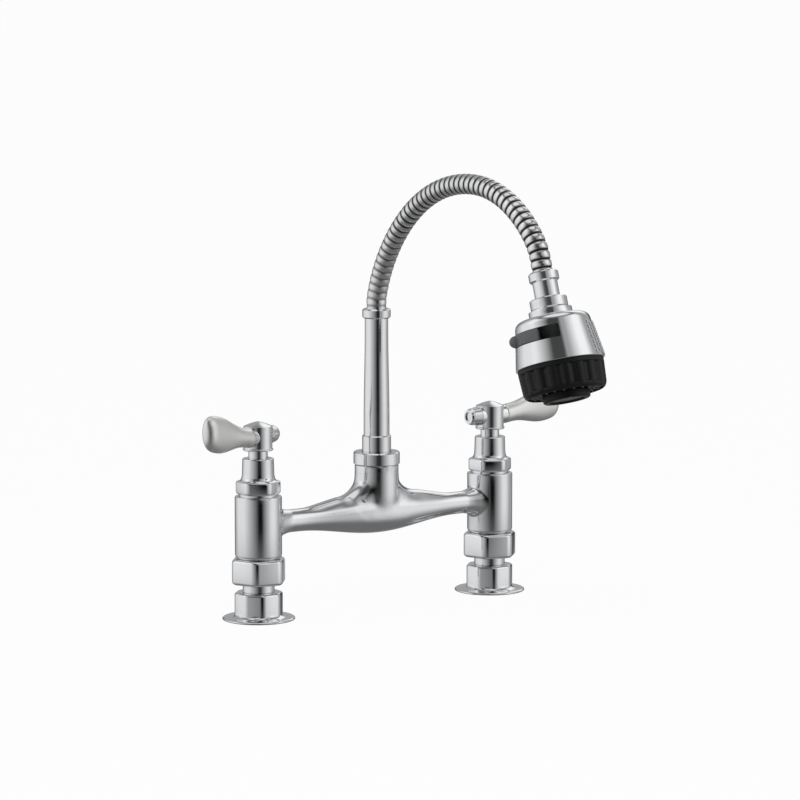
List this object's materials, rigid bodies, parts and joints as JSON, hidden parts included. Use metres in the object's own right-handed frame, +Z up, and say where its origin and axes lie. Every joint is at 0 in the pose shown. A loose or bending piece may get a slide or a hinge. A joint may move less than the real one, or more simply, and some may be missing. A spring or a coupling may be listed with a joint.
{
  "type": "bridge faucet with gooseneck spray head",
  "caption": "Deck-mounted bridge faucet with two lever valves, a swivelling ribbed gooseneck and a bell-shaped spray head with a thumb diverter.",
  "frame": {"origin": "on the deck, midway between the two valve centres, in the plane of the flanges' undersides", "axes": "+X from the left valve to the right one as seen from the front, -Y towards the user along the spout, +Z up"},
  "size_m": [0.325, 0.2707, 0.3151],
  "materials": {
    "chrome": "polished chrome plate",
    "lever": "satin light grey",
    "hose_steel": "satin steel, ribbed",
    "black_plastic": "matte black",
    "slide_grey": "chromed plastic, dulled",
    "rubber": "soft black rubber",
    "brass": "bare machined brass",
    "ceramic": "ground ceramic",
    "steel": "stainless steel",
    "white_plastic": "moulded plastic",
    "grey_plastic": "moulded plastic"
  },
  "bodies": {
    "faucet_body": {"deck_flange_left": "chrome", "deck_flange_right": "chrome", "tailpiece_left": "chrome", "tailpiece_right": "chrome", "union_washer_left": "rubber", "union_washer_right": "rubber", "coupling_nut_left": "chrome", "coupling_nut_right": "chrome", "bridge_body": "chrome", "seat_seal_left": "rubber", "seat_seal_right": "rubber", "cartridge_shell_left": "brass", "cartridge_shell_right": "brass", "fixed_disc_left": "ceramic", "fixed_disc_right": "ceramic", "bonnet_left": "chrome", "bonnet_right": "chrome", "swivel_nut": "chrome", "thrust_washer": "white_plastic"},
    "handle_left": {"moving_disc_left": "ceramic", "stem_left": "chrome", "stem_ring_left": "rubber", "handle_hub_left": "chrome", "handle_screw_left": "steel", "hub_cap_left": "chrome", "lever_left": "lever", "lever_nub_left": "chrome"},
    "handle_right": {"moving_disc_right": "ceramic", "stem_right": "chrome", "stem_ring_right": "rubber", "handle_hub_right": "chrome", "handle_screw_right": "steel", "hub_cap_right": "chrome", "lever_right": "lever", "lever_nub_right": "chrome"},
    "spout": {"spout_ferrule": "chrome", "spout_ring_lower": "rubber", "spout_ring_upper": "rubber", "riser_tube": "chrome", "riser_top_ring": "chrome", "hose_barb": "brass", "hose_liner": "white_plastic", "gooseneck_hose": "hose_steel", "hose_end_fitting": "chrome"},
    "spray_head": {"head_swivel_nut": "chrome", "bell_shell": "chrome", "spray_manifold": "grey_plastic", "grip_ring": "black_plastic", "spray_plate": "black_plastic", "nozzle_mat": "rubber", "outlet_boss": "black_plastic", "aerator": "white_plastic", "head_seal": "rubber"},
    "diverter": {"diverter_slide": "slide_grey", "diverter_disc": "white_plastic"}
  },
  "joints": [
    {"name": "handle_left_turn", "type": "hinge", "parent": "faucet_body", "child": "handle_left", "pos_m": [-0.1016, 0, 0.128], "axis": [0, 0, 1], "range_deg": [-22, 68]},
    {"name": "handle_right_turn", "type": "hinge", "parent": "faucet_body", "child": "handle_right", "pos_m": [0.1016, 0, 0.128], "axis": [0, 0, 1], "range_deg": [-90, 0]},
    {"name": "spout_swivel", "type": "hinge", "parent": "faucet_body", "child": "spout", "pos_m": [0, 0, 0.102], "axis": [0, 0, 1], "continuous": true},
    {"name": "head_swivel", "type": "hinge", "parent": "spout", "child": "spray_head", "pos_m": [0, -0.1945, 0.2505], "axis": [0, -0.309, -0.9511], "continuous": true},
    {"name": "diverter_turn", "type": "hinge", "parent": "spray_head", "child": "diverter", "pos_m": [0, -0.1945, 0.2505], "axis": [0, -0.309, -0.9511], "range_deg": [-30, 0]}
  ]
}
